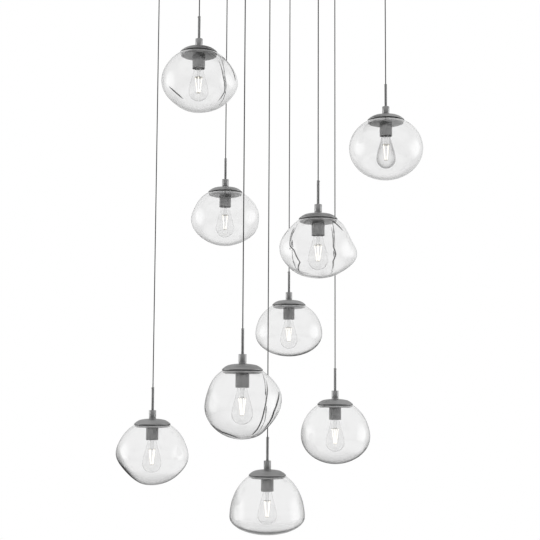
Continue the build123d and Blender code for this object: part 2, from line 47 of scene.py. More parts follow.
TILT = math.radians(96.07)
ROLL = math.radians(0.306)
LENS = 76.2
FRAME_WIDTH = 36

bpy.ops.object.select_all(action="DESELECT")
bpy.ops.object.camera_add(location=CAMERA_PLACE)
camera = bpy.context.object
turning = (
    Matrix.Rotation(FACING, 4, "Z") @ Matrix.Rotation(TILT, 4, "X") @ Matrix.Rotation(ROLL, 4, "Z")
)
camera.rotation_euler = turning.to_euler()
camera.data.lens = LENS
camera.data.sensor_width = FRAME_WIDTH
camera.data.clip_end = 100
bpy.context.scene.camera = camera

# ---------------------------------------------------------------- cords
# Each cord is a round flexible lead in a smooth grey jacket, 3.2 mm thick. It leaves its
# grip under the canopy and hangs straight down, and its end sits in the pendant's stem.
CORD_DIAMETER = 0.0032
CORD_TOP = -0.0485
CORD_SEAT = 0.0045
STEM_TOP = 0.113

# Where each pendant's axis stands, and how far its cap's rim hangs below the ceiling
PLACES = {
    1: (-0.254, 0.0, -0.444),
    2: (0.0, 0.254, -0.8025),
    3: (0.0, -0.254, -0.9525),
    4: (0.254, -0.254, -0.6285),
    5: (0.254, 0.254, -1.1575),
    6: (-0.254, -0.254, -1.3875),
    7: (-0.254, 0.254, -1.5465),
    8: (0.254, 0.0, -1.484),
    9: (0.0, 0.0, -1.6935),
}


class Level:
    """A number on its way through a material's nodes, so that maths reads as maths."""

    def __init__(self, finish, socket):
        self.finish = finish
        self.socket = socket

    def maths(self, operation, first, second):
        """What one maths node makes of two levels or numbers."""
        return self.finish.node("ShaderNodeMath", {"operation": operation}, {0: first, 1: second})

    def __add__(self, other):
        return self.maths("ADD", self, other)

    def __radd__(self, other):
        return self.maths("ADD", other, self)

    def __sub__(self, other):
        return self.maths("SUBTRACT", self, other)

    def __rsub__(self, other):
        return self.maths("SUBTRACT", other, self)

    def __mul__(self, other):
        return self.maths("MULTIPLY", self, other)

    def __rmul__(self, other):
        return self.maths("MULTIPLY", other, self)

    def __pow__(self, other):
        return self.maths("POWER", self, other)


class Finish:
    """A material for one of the fixture's surfaces."""

    def __init__(self, name, **constants):
        self.material = bpy.data.materials.new(name)
        self.material.use_nodes = True
        self.tree = self.material.node_tree
        self.shader = self.tree.nodes["Principled BSDF"]
        for socket, value in constants.items():
            self.shader.inputs[socket.replace("_", " ")].default_value = value

    def node(self, kind, settings=None, inputs=None, out=0):
        """Adds a node with its settings and inputs, and gives what comes out of it."""
        made = self.tree.nodes.new(kind)
        for key, value in (settings or {}).items():
            if key == "stops":
                ramp = made.color_ramp.elements
                while len(ramp) < len(value):
                    ramp.new(0.5)
                for stop, (place, colour) in zip(ramp, value):
                    stop.position = place
                    stop.color = colour
            else:
                setattr(made, key, value)
        for key, value in (inputs or {}).items():
            if isinstance(value, Level):
                self.tree.links.new(value.socket, made.inputs[key])
            else:
                made.inputs[key].default_value = value
        return Level(self, made.outputs[out])

    def place(self):
        """Where on the piece a point is."""
        return self.node("ShaderNodeTexCoord", out="Object")

    def speckle(self, scale, detail=2.0, roughness=0.5):
        """Soft irregular spots, of which about scale go in a metre."""
        return self.node(
            "ShaderNodeTexNoise", None,
            {"Vector": self.place(), "Scale": scale, "Detail": detail, "Roughness": roughness},
        )

    def between(self, level, low, high):
        """A number that runs from low to high as level runs from 0 to 1."""
        return low + level * (high - low)

    def tint(self, level, low, high):
        """A colour that runs from low to high as level runs from 0 to 1."""
        stops = [(0.0, (*low, 1)), (1.0, (*high, 1))]
        return self.node("ShaderNodeValToRGB", {"stops": stops}, {0: level})

    def bump(self, height, strength, distance):
        """A surface that stands up where height is great."""
        return self.node(
            "ShaderNodeBump", None,
            {"Height": height, "Strength": strength, "Distance": distance},
        )

    def feed(self, socket, level):
        """Lets a level set one of the shader's sockets."""
        self.tree.links.new(level.socket, self.shader.inputs[socket])


def jacket_finish():
    """Smooth grey cord jacket, with faint scuffs."""
    jacket = Finish("cord_jacket", Roughness=0.5, Specular_IOR_Level=0.3)
    scuffs = jacket.speckle(260, 3)
    jacket.feed("Base Color", jacket.tint(scuffs, (0.028, 0.028, 0.028), (0.05, 0.05, 0.05)))
    jacket.feed("Roughness", jacket.between(scuffs, 0.42, 0.62))
    jacket.feed("Normal", jacket.bump(jacket.speckle(1400), 0.15, 0.0002))
    return jacket.material


JACKET = jacket_finish()
for number, (x, y, drop) in PLACES.items():
    low = drop + STEM_TOP - CORD_SEAT
    line = bpy.data.curves.new(f"cord_line_{number}", "CURVE")
    line.dimensions = "3D"
    line.bevel_depth = CORD_DIAMETER / 2
    line.bevel_resolution = 4
    line.use_fill_caps = True
    spline = line.splines.new("NURBS")
    spline.points.add(2)
    for point, z in zip(spline.points, (CORD_TOP, (CORD_TOP + low) / 2, low)):
        point.co = (x, y, z, 1)
    spline.order_u = 3
    spline.use_endpoint_u = True
    line.materials.append(JACKET)
    cord = bpy.data.objects.new(f"hanging_cord_{number}", line)
    bpy.context.scene.collection.objects.link(cord)
    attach(cord, f"cord_{number}")
    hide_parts(f"cord_{number}")


# ---------------------------------------------------------------- canopy
# The canopy is a shallow square pan of folded sheet steel in satin nickel, screwed to the
# tabs of a zinc-plated ceiling plate. Turned cord grips stand under it in a grid.
def satin_metal(name, dark, light, rough_low, rough_high):
    """Plated metal, finely bead-blasted, with slow changes of tone."""
    metal = Finish(name, Metallic=1.0)
    clouds = metal.speckle(16, 3)
    grains = metal.speckle(2600, 2)
    metal.feed("Base Color", metal.tint(clouds, dark, light))
    metal.feed("Roughness", metal.between(grains * 0.6 + clouds * 0.4, rough_low, rough_high))
    metal.feed("Normal", metal.bump(grains, 0.12, 0.0002))
    return metal.material


def moulded_finish(name, dark, light):
    """Moulded plastic or ceramic with a slight orange peel."""
    moulded = Finish(name)
    peel = moulded.speckle(900, 2)
    moulded.feed("Base Color", moulded.tint(moulded.speckle(40, 3), dark, light))
    moulded.feed("Roughness", moulded.between(peel, 0.45, 0.65))
    moulded.feed("Normal", moulded.bump(peel, 0.15, 0.0003))
    return moulded.material


COVER_METAL = satin_metal("canopy_satin", (0.44, 0.44, 0.435), (0.52, 0.52, 0.515), 0.32, 0.46)
ZINC = satin_metal("zinc_plate", (0.46, 0.47, 0.48), (0.62, 0.62, 0.62), 0.35, 0.55)
SCREW_METAL = satin_metal("screw_metal", (0.5, 0.5, 0.49), (0.58, 0.58, 0.57), 0.22, 0.34)
BOX_PLASTIC = moulded_finish("terminal_plastic", (0.76, 0.75, 0.7), (0.86, 0.85, 0.81))
CANOPY_FINISHES = {
    "ceiling_plate": ZINC,
    "canopy_cover": COVER_METAL,
    "canopy_screws": SCREW_METAL,
    "cord_grips": SCREW_METAL,
    "terminal_box": BOX_PLASTIC,
    "port_leads": JACKET,
}
for name, finish in CANOPY_FINISHES.items():
    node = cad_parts[name]
    node.data.materials.clear()
    node.data.materials.append(finish)


# ---------------------------------------------------------------- stems
# Each stem is a turned brass tube in satin nickel with a small chamfer at its mouth. A
# grub screw through its side, a few millimetres below the top, grips the cord, and looks
# another way in each pendant.
def turned(name, profile, steps=64):
    """Turns a piece on the lathe: a ring that is extruded and resized from place to place."""
    bpy.ops.object.select_all(action="DESELECT")
    radius, height = profile[0]
    bpy.ops.mesh.primitive_circle_add(
        vertices=steps, radius=radius, fill_type="NOTHING", location=(0, 0, height)
    )
    piece = bpy.context.object
    piece.name = name
    bpy.ops.object.transform_apply(location=True)
    bpy.ops.object.mode_set(mode="EDIT")
    bpy.ops.mesh.select_all(action="SELECT")
    for next_radius, next_height in profile[1:]:
        bpy.ops.mesh.extrude_region_move(
            TRANSFORM_OT_translate={"value": (0, 0, next_height - height)}
        )
        share = next_radius / radius
        bpy.ops.transform.resize(
            value=(share, share, 1), center_override=(0, 0, next_height)
        )
        radius, height = next_radius, next_height
    bpy.ops.mesh.select_all(action="SELECT")
    bpy.ops.mesh.remove_doubles(threshold=1e-6)
    bpy.ops.mesh.select_all(action="DESELECT")
    bpy.ops.mesh.select_non_manifold()
    bpy.ops.mesh.edge_face_add()
    bpy.ops.mesh.select_all(action="SELECT")
    bpy.ops.mesh.normals_make_consistent(inside=False)
    bpy.ops.object.mode_set(mode="OBJECT")
    return piece


SHARP_EDGE = math.radians(40)
SMOOTH_EDGE = math.radians(35)


def eased(piece, width, segments=2):
    """Breaks the sharp edges of a piece and smooths the rest."""
    modifier = piece.modifiers.new("edges", "BEVEL")
    modifier.width = width
    modifier.segments = segments
    modifier.limit_method = "ANGLE"
    modifier.angle_limit = SHARP_EDGE
    apply_all(piece)


def apply_all(piece):
    """Applies the modifiers of a piece, and smooths it up to its edges."""
    bpy.ops.object.select_all(action="DESELECT")
    piece.select_set(True)
    bpy.context.view_layer.objects.active = piece
    for modifier in list(piece.modifiers):
        bpy.ops.object.modifier_apply(modifier=modifier.name)
    bpy.ops.object.shade_smooth_by_angle(angle=SMOOTH_EDGE)


def joined(name, *pieces):
    """Makes one piece of several, each with its own material."""
    bpy.ops.object.select_all(action="DESELECT")
    for piece in pieces:
        piece.select_set(True)
    bpy.context.view_layer.objects.active = pieces[0]
    bpy.ops.object.join()
    pieces[0].name = name
    return pieces[0]


def hung_copy(master, number, turn=0.0):
    """A copy with its own mesh, moved under the port of one pendant."""
    piece = master.copy()
    piece.data = master.data.copy()
    piece.name = f"{master.name}_{number}"
    bpy.context.scene.collection.objects.link(piece)
    bpy.ops.object.select_all(action="DESELECT")
    piece.select_set(True)
    bpy.context.view_layer.objects.active = piece
    piece.location = PLACES[number]
    piece.rotation_euler = (0, 0, turn)
    bpy.ops.object.transform_apply(location=True, rotation=True)
    return piece


NICKEL = satin_metal("satin_nickel", (0.31, 0.31, 0.31), (0.38, 0.38, 0.38), 0.4, 0.52)
# The stems take a darker copy of the satin nickel, which is painted shade for the thin tubes
STEM_NICKEL_SHADED = satin_metal("stem_nickel_shaded", (0.24, 0.24, 0.24), (0.3, 0.3, 0.3), 0.4, 0.52)
STEM_RADIUS = 0.0039
STEM_BORE = 0.0019
STEM_FOOT = 0.035
GRUB_RADIUS = 0.0015
GRUB_LENGTH = 0.0028
GRUB_DEPTH = 0.003

# The way to the camera, and how far round from it each grub screw stands, in degrees
FRONT_TURN = -124
GRUB_TURNS = {1: -90, 2: 150, 3: 90, 4: -35, 5: -90, 6: 5, 7: -60, 8: 120, 9: 90}

stem = turned("stem_tube", [
    (STEM_BORE, STEM_FOOT), (STEM_RADIUS, STEM_FOOT), (STEM_RADIUS, STEM_TOP - 0.0006),
    (STEM_RADIUS - 0.0005, STEM_TOP), (0.0024, STEM_TOP), (STEM_BORE, STEM_TOP - 0.003),
    (STEM_BORE, STEM_FOOT),
])
stem.data.materials.append(STEM_NICKEL_SHADED)
eased(stem, 0.0002)

# The grub screw, lying along +X, with its hexagon socket
bpy.ops.object.select_all(action="DESELECT")
bpy.ops.mesh.primitive_cylinder_add(
    vertices=24, radius=GRUB_RADIUS, depth=GRUB_LENGTH,
    location=(0.0038, 0, STEM_TOP - GRUB_DEPTH), rotation=(0, math.pi / 2, 0),
)
grub = bpy.context.object
bpy.ops.object.transform_apply(location=True, rotation=True)
bpy.ops.object.mode_set(mode="EDIT")
bpy.ops.mesh.select_all(action="DESELECT")
bpy.ops.object.mode_set(mode="OBJECT")
for face in grub.data.polygons:
    face.select = face.normal.x > 0.9
bpy.ops.object.mode_set(mode="EDIT")
bpy.ops.mesh.inset(thickness=0.0006, depth=0)
bpy.ops.mesh.inset(thickness=0.00005, depth=-0.0008)
bpy.ops.object.mode_set(mode="OBJECT")
grub.data.materials.append(SCREW_METAL)
eased(grub, 0.0001, 1)
stem = joined("stem_tube", stem, grub)

for number in PLACES:
    turn = math.radians(FRONT_TURN + GRUB_TURNS[number])
    piece = hung_copy(stem, number, turn)
    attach(piece, f"pendant_{number}")
    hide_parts(f"stem_{number}")
bpy.data.objects.remove(stem)

# ---------------------------------------------------------------- collars, caps and gaskets
# The collar is a turned cylinder with a fine groove above its foot. It stands on a domed
# cap, spun from sheet, and a dark rubber gasket under the cap's rim bears on the glass.
COLLAR_RADIUS = 0.01075
COLLAR_TOP = 0.043
GROOVE = COLLAR_RADIUS - 0.0008
CAP_TOP = 0.017
CAP_RADIUS = 0.0555
CAP_SHEET = 0.0015
NIPPLE_HOLE = 0.0051
NIPPLE_BORE = 0.003
NIPPLE_TOP = 0.029

collar = turned("collar", [
    (NIPPLE_HOLE, CAP_TOP), (COLLAR_RADIUS, CAP_TOP), (COLLAR_RADIUS, 0.02),
    (GROOVE, 0.0202), (GROOVE, 0.021), (COLLAR_RADIUS, 0.0212), (COLLAR_RADIUS, COLLAR_TOP),
    (0.004, COLLAR_TOP), (0.004, 0.0352), (NIPPLE_BORE, 0.0352), (NIPPLE_BORE, NIPPLE_TOP),
    (NIPPLE_HOLE, NIPPLE_TOP), (NIPPLE_HOLE, CAP_TOP),
], steps=80)
collar.data.materials.append(NICKEL)
eased(collar, 0.0004)


def arc(first, middle, last, steps):
    """Points along the circle through three points of a profile."""
    (ax, ay), (bx, by), (cx, cy) = first, middle, last
    d = 2 * (ax * (by - cy) + bx * (cy - ay) + cx * (ay - by))
    a2, b2, c2 = ax * ax + ay * ay, bx * bx + by * by, cx * cx + cy * cy
    ux = (a2 * (by - cy) + b2 * (cy - ay) + c2 * (ay - by)) / d
    uy = (a2 * (cx - bx) + b2 * (ax - cx) + c2 * (bx - ax)) / d
    radius = math.hypot(ax - ux, ay - uy)
    start = math.atan2(ay - uy, ax - ux)
    end = math.atan2(cy - uy, cx - ux)
    angles = [start + (end - start) * step / steps for step in range(steps + 1)]
    return [(ux + radius * math.cos(a), uy + radius * math.sin(a)) for a in angles]


# The dome's outside, from the hole in its crown to the rim, and its inside, the other way
crown = arc((0.012, CAP_TOP), (0.025, 0.01592), (0.038, 0.0134), 10)
shoulder = arc((0.038, 0.0134), (0.049, 0.0074), (CAP_RADIUS, 0.0015), 12)
outer = [(NIPPLE_HOLE, CAP_TOP)] + crown + shoulder[1:] + [(CAP_RADIUS, 0.0)]
inner = [
    (radius - CAP_SHEET, max(0.0, height - CAP_SHEET))
    for radius, height in reversed(outer[2:-1])
]
inner = [(0.054, 0.0)] + [point for point in inner if point[0] > 0.008]
edge_of_hole = [(NIPPLE_HOLE, 0.0155), (NIPPLE_HOLE, CAP_TOP)]
cap = turned("cap_dome", outer + inner + edge_of_hole, steps=128)
cap.data.materials.append(NICKEL)
eased(cap, 0.0003)

GASKET_BORE = 0.0485
GASKET_RADIUS = 0.0552
GASKET_FOOT = -0.0015
gasket = turned("rim_gasket", [
    (GASKET_BORE, GASKET_FOOT), (GASKET_RADIUS, GASKET_FOOT), (GASKET_RADIUS, 0.0),
    (GASKET_BORE, 0.0), (GASKET_BORE, GASKET_FOOT),
], steps=128)
RUBBER = moulded_finish("gasket_rubber", (0.018, 0.018, 0.018), (0.035, 0.035, 0.035))
gasket.data.materials.append(RUBBER)
eased(gasket, 0.0003)

cap = joined("cap_dome", cap, collar, gasket)
for number in PLACES:
    piece = hung_copy(cap, number)
    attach(piece, f"pendant_{number}")
    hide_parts(f"cap_{number}")
bpy.data.objects.remove(cap)

# ---------------------------------------------------------------- lampholders
# A shallow spun pan closes the neck from inside, with a silicone ring round it that
# carries the glass. Under it hangs the lampholder: a drawn sleeve, lined with insulation
# that is made black as painted shade for the dark inside of its mouth, over a dark ceramic
# insert. A threaded nipple holds the whole together.
PAN_FOOT = -0.01
RING_BORE = 0.0491
RING_RADIUS = 0.0532
RING_FOOT = -0.0076
RING_TOP = -0.0036
NIPPLE_RADIUS = 0.005
NIPPLE_FOOT = -0.0142
SLEEVE_RADIUS = 0.01875
SLEEVE_INSIDE = 0.01745
SLEEVE_FOOT = -0.0475
SLEEVE_CEILING = -0.0113
LINER_SHADE_TOP = -0.012
INSERT_RADIUS = 0.0173
INSERT_BORE = 0.0135
INSERT_CEILING = -0.0163
INSERT_FOOT = -0.0413

pan = turned("retaining_pan", [
    (NIPPLE_HOLE, PAN_FOOT), (0.046, PAN_FOOT), (0.0481, -0.0091), (0.049, -0.007),
    (0.049, -0.0015), (0.0478, -0.0015), (0.0478, -0.0068), (0.0471, -0.0082),
    (0.0455, -0.0088), (NIPPLE_HOLE, -0.0088), (NIPPLE_HOLE, PAN_FOOT),
], steps=128)
PAN_METAL = satin_metal("pan_metal", (0.2, 0.2, 0.2), (0.27, 0.27, 0.27), 0.3, 0.42)
pan.data.materials.append(PAN_METAL)
eased(pan, 0.0003)

silicone = turned("silicone_ring", [
    (RING_BORE, RING_FOOT), (RING_RADIUS, RING_FOOT), (RING_RADIUS, RING_TOP),
    (RING_BORE, RING_TOP), (RING_BORE, RING_FOOT),
], steps=128)
SILICONE = moulded_finish("silicone", (0.55, 0.55, 0.55), (0.64, 0.64, 0.64))
silicone.data.materials.append(SILICONE)
eased(silicone, 0.0008)

nipple = turned("threaded_nipple", [
    (NIPPLE_BORE, NIPPLE_FOOT), (NIPPLE_RADIUS, NIPPLE_FOOT), (NIPPLE_RADIUS, NIPPLE_TOP),
    (NIPPLE_BORE, NIPPLE_TOP), (NIPPLE_BORE, NIPPLE_FOOT),
], steps=32)
nipple.data.materials.append(SCREW_METAL)
eased(nipple, 0.0002)

sleeve = turned("lampholder_sleeve", [
    (NIPPLE_HOLE, PAN_FOOT), (0.01725, PAN_FOOT), (SLEEVE_RADIUS, -0.0115),
    (SLEEVE_RADIUS, SLEEVE_FOOT), (SLEEVE_INSIDE, SLEEVE_FOOT),
    (SLEEVE_INSIDE, SLEEVE_CEILING), (NIPPLE_HOLE, SLEEVE_CEILING), (NIPPLE_HOLE, PAN_FOOT),
], steps=96)
sleeve.data.materials.append(PAN_METAL)

# The liner, black as painted shade for the inside of the mouth, is on the faces of the sleeve that
# look at its axis
LINER_SHADE = moulded_finish("sleeve_liner_shade", (0.012, 0.012, 0.012), (0.02, 0.02, 0.02))
sleeve.data.materials.append(LINER_SHADE)
for face in sleeve.data.polygons:
    towards_axis = face.normal.x * face.center.x + face.normal.y * face.center.y < 0
    if towards_axis and face.center.z < LINER_SHADE_TOP:
        face.material_index = 1
eased(sleeve, 0.0003)

insert = turned("lampholder_insert", [
    (NIPPLE_HOLE, SLEEVE_CEILING), (INSERT_RADIUS, SLEEVE_CEILING),
    (INSERT_RADIUS, INSERT_FOOT), (INSERT_BORE, INSERT_FOOT), (INSERT_BORE, INSERT_CEILING),
    (NIPPLE_HOLE, INSERT_CEILING), (NIPPLE_HOLE, SLEEVE_CEILING),
], steps=64)
CERAMIC = moulded_finish("holder_insert", (0.05, 0.05, 0.05), (0.09, 0.09, 0.09))
insert.data.materials.append(CERAMIC)
eased(insert, 0.0004)

holder = joined("lampholder", pan, silicone, nipple, sleeve, insert)
for number in PLACES:
    piece = hung_copy(holder, number)
    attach(piece, f"pendant_{number}")
    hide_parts(f"lampholder_{number}")
bpy.data.objects.remove(holder)

# ---------------------------------------------------------------- lamp bulbs
# Each bulb is a pear-shaped clear lamp: a blown envelope on a brass screw base, with a
# glass post inside that carries four straight light filaments between two wire frames.
BASE_TOP = -0.0166
BASE_FOOT = -0.0426
THREAD_PITCH = 0.0036
RIDGES = 5
BULB_RADIUS = 0.029
BULB_BELLY = -0.119
BULB_SHOULDER = -0.05
POST_FOOT = BASE_FOOT - 0.032
HEAVY_BULB = 4

# A lathed piece without a bore keeps a pinhole along its axis
SOLID_BORE = 0.0003

thread = [(0.0045, BASE_TOP), (0.0045, BASE_TOP - 0.0015), (0.0125, BASE_TOP - 0.0045)]
for ridge in range(RIDGES):
    top = BASE_TOP - 0.0048 - THREAD_PITCH * ridge
    thread += [(0.0124, top), (0.0131, top - 0.0009), (0.0131, top - 0.0018),
               (0.0124, top - 0.0027)]
thread += [(0.0128, BASE_FOOT + 0.0008), (0.0128, BASE_FOOT), (SOLID_BORE, BASE_FOOT),
           (SOLID_BORE, BASE_TOP)]
base = turned("bulb_base", thread, steps=48)
BASE_METAL = satin_metal("base_metal", (0.5, 0.48, 0.42), (0.6, 0.58, 0.52), 0.25, 0.4)
base.data.materials.append(BASE_METAL)
eased(base, 0.0002, 1)

# The envelope's outline, from the neck down to the round end
outline = [
    (0.01275, BASE_FOOT), (0.0131, -0.0465), (0.0139, -0.0525), (0.0156, -0.0600),
    (0.0180, -0.0690), (0.0207, -0.0785), (0.0235, -0.0885), (0.0262, -0.0990),
    (0.0282, -0.1095), (BULB_RADIUS, BULB_BELLY),
]
for step in range(1, 12):
    angle = math.pi / 2 * step / 11.5
    outline.append((BULB_RADIUS * math.cos(angle), BULB_BELLY - BULB_RADIUS * math.sin(angle)))

# How the painted shade falls off from the outline where it is heavy, and how much of it the glass
# has where it is light
HEAVY_SHADE_FALLOFF = 1.7
LIGHT_SHADE_SHARE = 0.25


def clear_glass(name, clear, outline_shade, ripple, ripple_size, falloff=8.0, blown=False):
    """Clear glass, with slow ripples where it was blown. Its colour is darker towards its outline:
    painted shade, beside the little real tint of light going through more of it. A blown piece
    has most of it where its vertex attribute asks for it, and painted shade along its creases too."""
    glass = Finish(name, Roughness=0.0, IOR=1.45)
    glass.shader.inputs["Transmission Weight"].default_value = 1.0
    facing = glass.node("ShaderNodeLayerWeight", None, {"Blend": 0.5}, "Facing")
    if blown:
        heel = glass.node("ShaderNodeAttribute", {"attribute_name": "heel"}, out="Fac")
        crease_shade_level = glass.node("ShaderNodeAttribute", {"attribute_name": "crease"}, out="Fac")
        power = falloff - heel * (falloff - HEAVY_SHADE_FALLOFF)
        dark = facing ** power * glass.between(heel, LIGHT_SHADE_SHARE, 1.0)
        dark = dark.maths("MAXIMUM", dark, crease_shade_level)
    else:
        dark = facing ** falloff
    glass.feed("Base Color", glass.tint(dark, (clear, clear, clear), (outline_shade, outline_shade, outline_shade)))
    waves = glass.speckle(ripple_size, 2, 0.4)
    glass.feed("Normal", glass.bump(waves, ripple, 0.004))
    return glass.material


# Both bulb glasses are painted darker towards their outline, which is painted shade; the heavy one
# gets much more of it
BULB_GLASS = clear_glass("bulb_clear_shaded", 0.98, 0.42, 0.05, 30)
HEAVY_SHADED_GLASS = clear_glass("bulb_heavy_shaded", 0.98, 0.01, 0.05, 30, falloff=1.5)


def blown_envelope(name, wall, glass):
    """A bulb's envelope, open at the neck, with walls of the given thickness."""
    envelope = turned(name, outline, steps=72)
    bpy.ops.object.mode_set(mode="EDIT")
    bpy.ops.mesh.select_all(action="DESELECT")
    bpy.ops.object.mode_set(mode="OBJECT")
    for face in envelope.data.polygons:
        face.select = len(face.vertices) > 4 and face.center.z > BULB_SHOULDER
    bpy.ops.object.mode_set(mode="EDIT")
    bpy.ops.mesh.delete(type="ONLY_FACE")
    bpy.ops.object.mode_set(mode="OBJECT")
    skin = envelope.modifiers.new("wall", "SOLIDIFY")
    skin.thickness = wall
    skin.offset = -1
    apply_all(envelope)
    envelope.data.materials.append(glass)
    return envelope


# The photograph's fourth bulb has a heavier outline than the others, so its wall is thick
BULB_WALL = 0.0008
HEAVY_WALL = 0.0022
envelope = blown_envelope("bulb_envelope", BULB_WALL, BULB_GLASS)
heavy_envelope = blown_envelope("heavy_envelope", HEAVY_WALL, HEAVY_SHADED_GLASS)

post = turned("bulb_post", [
    (0.0098, BASE_FOOT), (0.0078, BASE_FOOT - 0.0035), (0.0058, BASE_FOOT - 0.0085),
    (0.0047, BASE_FOOT - 0.016), (0.0044, BASE_FOOT - 0.026), (0.0045, POST_FOOT),
    (0.0037, POST_FOOT), (0.0036, BASE_FOOT - 0.026), (0.0039, BASE_FOOT - 0.016),
    (0.005, BASE_FOOT - 0.0085), (0.007, BASE_FOOT - 0.0035), (0.009, BASE_FOOT),
    (0.0098, BASE_FOOT),
], steps=32)
post.data.materials.append(BULB_GLASS)
eased(post, 0.0004)

DISC_TOP, DISC_FOOT, DISC_RADIUS = POST_FOOT - 0.0001, POST_FOOT - 0.001, 0.0117
TIE_TOP, TIE_FOOT, TIE_RADIUS = POST_FOOT - 0.0474, POST_FOOT - 0.0483, 0.0057
disc = turned("filament_disc", [
    (SOLID_BORE, DISC_TOP), (DISC_RADIUS, DISC_TOP), (DISC_RADIUS, DISC_FOOT),
    (SOLID_BORE, DISC_FOOT),
], steps=40)
tie = turned("filament_tie", [
    (SOLID_BORE, TIE_TOP), (TIE_RADIUS, TIE_TOP), (TIE_RADIUS, TIE_FOOT),
    (SOLID_BORE, TIE_FOOT),
], steps=32)
for piece in (disc, tie):
    piece.data.materials.append(BASE_METAL)
    eased(piece, 0.0001, 1)


def glow_finish(name, strength):
    """A lit filament: phosphor that glows, a little uneven along its length."""
    glow = Finish(name, Roughness=0.6)
    grains = glow.speckle(500, 2)
    glow.feed("Base Color", glow.tint(grains, (0.9, 0.86, 0.72), (1.0, 0.97, 0.9)))
    glow.feed("Emission Color", glow.tint(grains, (1.0, 0.95, 0.86), (1.0, 0.98, 0.94)))
    glow.shader.inputs["Emission Strength"].default_value = strength
    return glow.material


# The filaments lean inwards from the disc to the tie
GLOW = glow_finish("lit_filament", 1.15)
STICK_RADIUS = 0.001
STICK_LENGTH = 0.0462
STICK_LEAN = math.atan2(0.006, 0.046)
STICK_TOP, STICK_FOOT = POST_FOOT - 0.0012, POST_FOOT - 0.0472
WIDE, CLOSE = 0.01, 0.004
sticks = []
for step in range(4):
    turn = math.pi / 2 * step
    top = (WIDE * math.cos(turn), WIDE * math.sin(turn), STICK_TOP)
    foot = (CLOSE * math.cos(turn), CLOSE * math.sin(turn), STICK_FOOT)
    middle = [(a + b) / 2 for a, b in zip(top, foot)]
    bpy.ops.object.select_all(action="DESELECT")
    bpy.ops.mesh.primitive_cylinder_add(
        vertices=16, radius=STICK_RADIUS, depth=STICK_LENGTH, location=middle,
        rotation=(0, STICK_LEAN, turn),
    )
    stick = bpy.context.object
    bpy.ops.object.transform_apply(location=True, rotation=True)
    stick.data.materials.append(GLOW)
    eased(stick, 0.0003)
    sticks.append(stick)

# Each bulb is screwed home to another turn, in degrees
FIRST_TURN = 20
NEXT_TURN = 40
inside = joined("bulb_works", base, post, disc, tie, *sticks)
for number in PLACES:
    for master in (inside, heavy_envelope if number == HEAVY_BULB else envelope):
        piece = hung_copy(master, number, math.radians(FIRST_TURN + NEXT_TURN * number))
        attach(piece, f"bulb_{number}")
        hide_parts(f"bulb_{number}")
for master in (inside, envelope, heavy_envelope):
    bpy.data.objects.remove(master)

# ---------------------------------------------------------------- glass shades
# Each shade is blown from clear glass without a mould, so no two are alike. The hot
# bubble is pushed here and there, which leaves bulges, flats and folds in its wall.
FRONT = math.radians(FRONT_TURN)

# Sizes of the glass in millimetres: the height of its mouth, the radius of its neck, how
# thick it is at the side and at the bottom, and how far down the neck nothing is pushed
GLASS_TOP = -1.5
NECK = 54.6
WALL = 2.2
THICK_BASE = 4.5
NECK_ZONE = 25.0

# Width, depth of the belly and of the bottom in millimetres, and the pushes: turn from
# the front, depth, how far the glass moved, and how far around it the glass followed
BUBBLES = {
    1: (216, 88, 178, [(95, 95, 9, 80), (-90, 75, 2, 60), (130, 150, 4, 60), (-110, 150, -5, 60)]),
    2: (214, 82, 174, [(-100, 105, 5, 70), (100, 130, 7, 60), (80, 70, 4, 60), (-90, 40, -4, 50)]),
    3: (206, 95, 170, [(90, 108, 9, 60), (-90, 72, 9, 70), (90, 45, -7, 50)]),
    4: (222, 86, 181, [(0, 90, 4, 70)]),
    5: (222, 96, 171, [(180, 90, 5, 80)]),
    6: (206, 92, 186, [(90, 60, 6, 60), (90, 150, -8, 60), (-90, 60, -4, 60)]),
    7: (214, 92, 183, [(-95, 90, 4, 60), (-70, 150, -14, 80), (90, 105, 5, 60)]),
    8: (214, 96, 184, [(95, 105, 3, 50), (110, 145, 6, 60)]),
    9: (224, 121, 174, [(150, 110, 5, 80)]),
}


def softened(share):
    """A share between 0 and 1 that starts and stops softly."""
    share = np.clip(share, 0, 1)
    return share * share * (3 - 2 * share)


def follow(distance, reach):
    """How much of a push the glass follows at a distance from its middle."""
    return softened(1 - distance / reach)


def blown_shape(number, ball, wall=0.0, base=0.0):
    """The skin of a shade for points of a round unit ball, in millimetres. wall and base
    draw it in by the thickness of the glass at the side and at the bottom."""
    width, belly, height, pushes = BUBBLES[number]
    half = width / 2
    upper = (belly + GLASS_TOP) / math.sqrt(1 - (NECK / half) ** 2)
    lower = height - belly

    def bubble(wall, base):
        rise = np.where(ball[:, 2] > 0, upper - wall, lower - base)
        return np.stack([
            ball[:, 0] * (half - wall), ball[:, 1] * (half - wall), ball[:, 2] * rise - belly,
        ], axis=1)

    outside = bubble(0, 0)
    skin = bubble(wall, base)
    free = follow(np.maximum(0, NECK_ZONE + outside[:, 2]), NECK_ZONE)
    for turn, depth, push, reach in pushes:
        rise = belly - depth
        level = rise / upper if rise > 0 else rise / lower
        across = half * math.sqrt(1 - level * level)
        angle = FRONT + math.radians(turn)
        centre = np.array([across * math.cos(angle), across * math.sin(angle), rise - belly])
        moved = push * follow(np.linalg.norm(outside - centre, axis=1), reach) * free
        skin[:, 0] += moved * math.cos(angle)
        skin[:, 1] += moved * math.sin(angle)
    return skin


